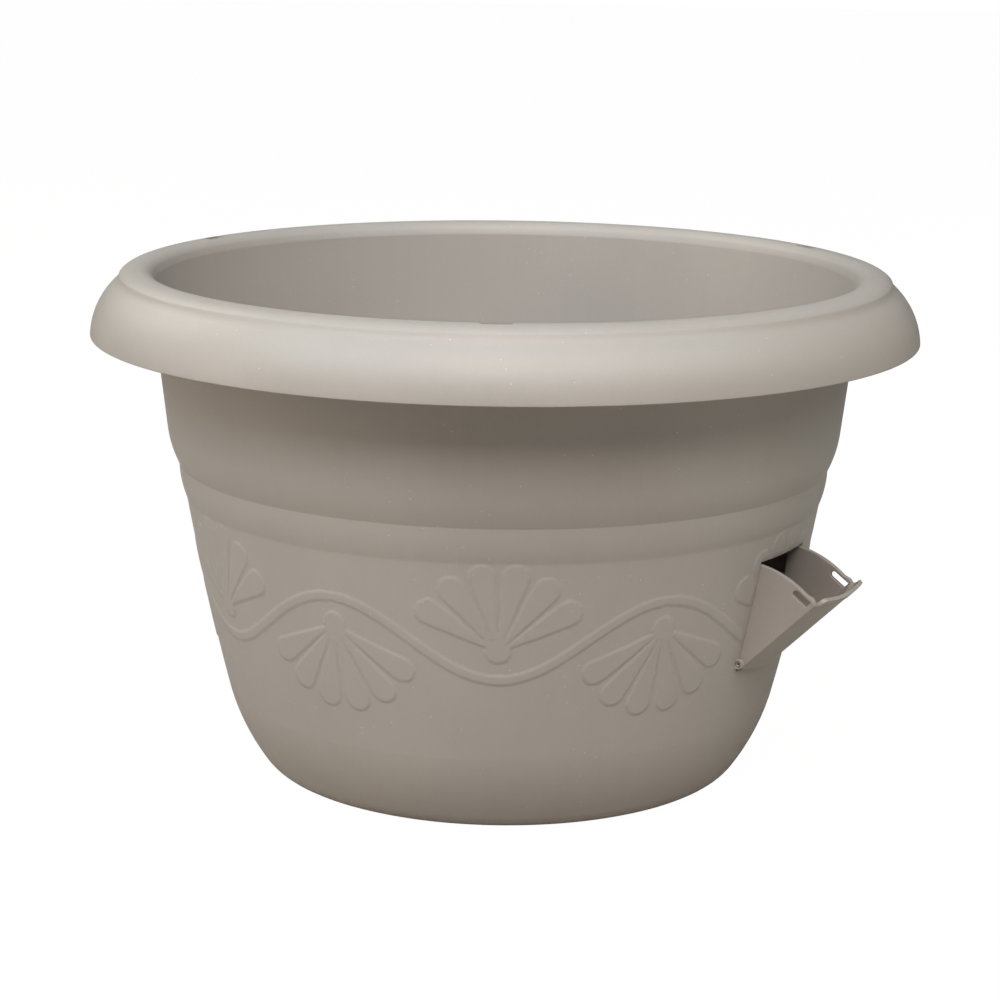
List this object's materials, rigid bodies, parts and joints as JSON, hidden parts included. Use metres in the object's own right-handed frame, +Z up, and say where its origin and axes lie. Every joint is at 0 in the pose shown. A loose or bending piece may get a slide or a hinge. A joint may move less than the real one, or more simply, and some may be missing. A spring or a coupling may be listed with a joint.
{
  "type": "hanging basket",
  "caption": "Round self-watering hanging basket with a flared hollow rim, hanger slots, a pop-out watering chute in the wall and a perforated false floor.",
  "frame": {"origin": "centre of the flat base, on the face it rests on", "axes": "+Z up along the pot's axis, +X through the middle of the watering chute, +Y along the chute's hinge line"},
  "size_m": [0.3, 0.3, 0.1854],
  "materials": {
    "shell_plastic": "fine matt grain, injection moulded",
    "hatch_plastic": "fine matt grain, injection moulded",
    "insert_plastic": "satin recycled plastic",
    "felt": "needled felt"
  },
  "bodies": {
    "basket": {"basket_shell": "shell_plastic", "water_guide": "shell_plastic", "reservoir_platform": "insert_plastic", "capillary_mat": "felt"},
    "hatch": {"water_hatch": "hatch_plastic"}
  },
  "joints": [
    {"name": "hatch_hinge", "type": "hinge", "parent": "basket", "child": "hatch", "pos_m": [0.1064, 0, 0.0561], "axis": [0, 1, 0], "range_deg": [-34, 0]}
  ]
}
